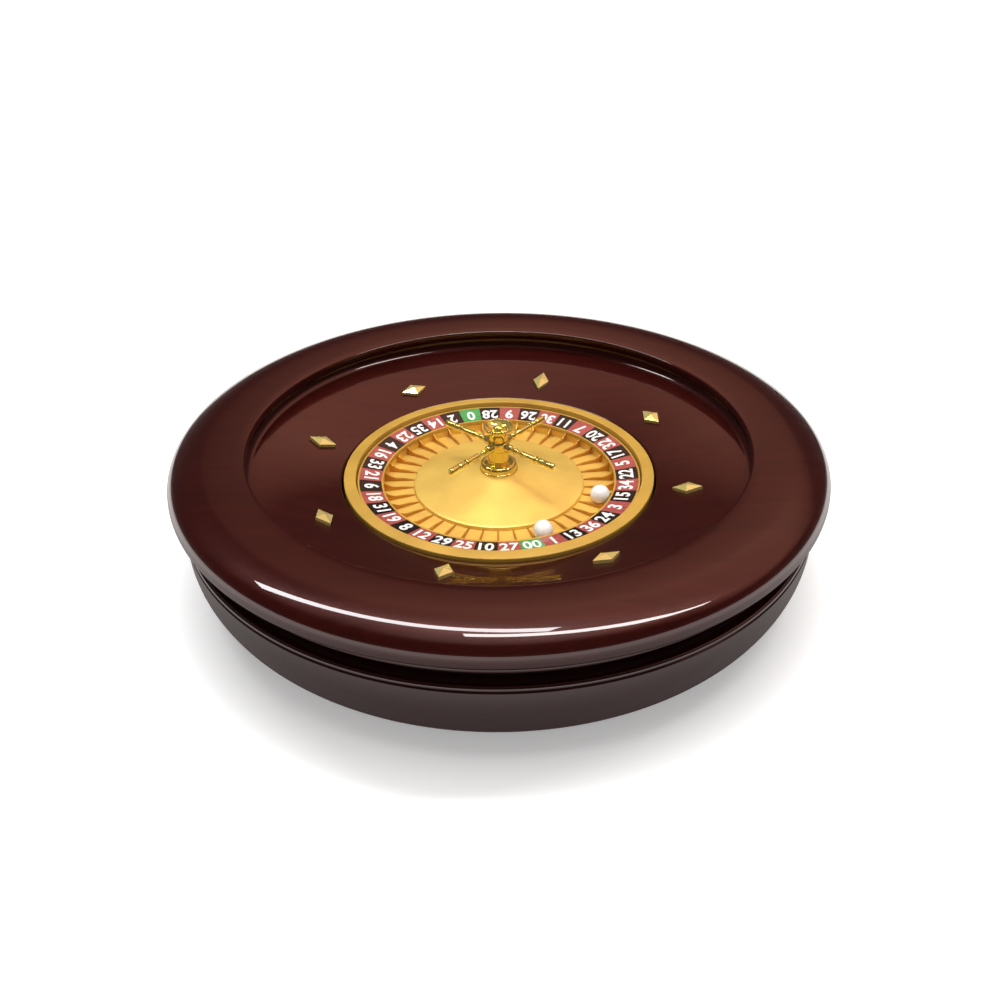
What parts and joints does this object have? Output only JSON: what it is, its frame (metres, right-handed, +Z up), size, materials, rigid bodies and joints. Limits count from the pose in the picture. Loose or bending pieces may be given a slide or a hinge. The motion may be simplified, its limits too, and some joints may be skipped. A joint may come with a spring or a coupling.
{
  "type": "roulette wheel",
  "caption": "Turned wooden roulette wheel: bowl with ball track, sloping apron and deflectors, and a gold rotor with pockets and a brass turret that spins on bearings.",
  "frame": {"origin": "centre of the underside of the base, on the wheel's axis", "axes": "+Z up along the spindle; angle 0 is +X and the picture looks along +Y"},
  "size_m": [0.4999, 0.5, 0.1223],
  "materials": {
    "mahogany": "high gloss lacquer",
    "dark_reveal": "dark stain",
    "baize": "napped",
    "steel": "ground",
    "satin_gold": "satin gilt",
    "polished_brass": "polished",
    "ivory": "polished"
  },
  "bodies": {
    "base": {"baize": "baize", "bowl": "mahogany", "reveal_ring": "dark_reveal", "rim": "mahogany", "ball_track": "mahogany", "apron": "mahogany", "deflector_1": "polished_brass", "deflector_2": "polished_brass", "deflector_3": "polished_brass", "deflector_4": "polished_brass", "deflector_5": "polished_brass", "deflector_6": "polished_brass", "deflector_7": "polished_brass", "deflector_8": "polished_brass", "spindle": "steel", "spindle_flange": "steel", "flange_screw_1": "steel", "flange_screw_2": "steel", "flange_screw_3": "steel", "lower_inner_race": "steel", "upper_inner_race": "steel", "race_spacer": "steel", "spindle_nut": "steel"},
    "rotor": {"rotor_disc": "mahogany", "seat_ring": "mahogany", "gold_rim": "satin_gold", "number_ring": "satin_gold", "pocket_ring": "satin_gold", "cone": "satin_gold", "bearing_housing": "polished_brass", "lower_outer_race": "steel", "upper_outer_race": "steel", "turret_foot": "polished_brass", "turret_stem": "polished_brass", "turret_collar": "polished_brass", "turret_cup": "polished_brass", "turret_finial": "polished_brass", "turret_rod": "steel", "arm_1": "polished_brass", "arm_2": "polished_brass", "arm_3": "polished_brass", "arm_4": "polished_brass"},
    "lower_cage": {"lower_ball_cage": "steel"},
    "upper_cage": {"upper_ball_cage": "steel"},
    "first_ball": {"ball_1": "ivory"},
    "second_ball": {"ball_2": "ivory"}
  },
  "joints": [
    {"name": "rotor_spin", "type": "hinge", "parent": "base", "child": "rotor", "pos_m": [0, 0, 0.06], "axis": [0, 0, 1], "continuous": true},
    {"name": "lower_cage_spin", "type": "hinge", "parent": "base", "child": "lower_cage", "pos_m": [0, 0, 0.047], "axis": [0, 0, 1], "continuous": true},
    {"name": "upper_cage_spin", "type": "hinge", "parent": "base", "child": "upper_cage", "pos_m": [0, 0, 0.065], "axis": [0, 0, 1], "continuous": true},
    {"name": "ball_1_lift", "type": "slide", "parent": "rotor", "child": "first_ball", "axis": [0, 0, 1], "range_m": [0, 0.06]},
    {"name": "ball_2_lift", "type": "slide", "parent": "rotor", "child": "second_ball", "axis": [0, 0, 1], "range_m": [0, 0.06]}
  ],
  "couplings": [
    {"joint": "lower_cage_spin", "follows": "rotor_spin", "ratio": 0.5773},
    {"joint": "upper_cage_spin", "follows": "rotor_spin", "ratio": 0.5773}
  ]
}
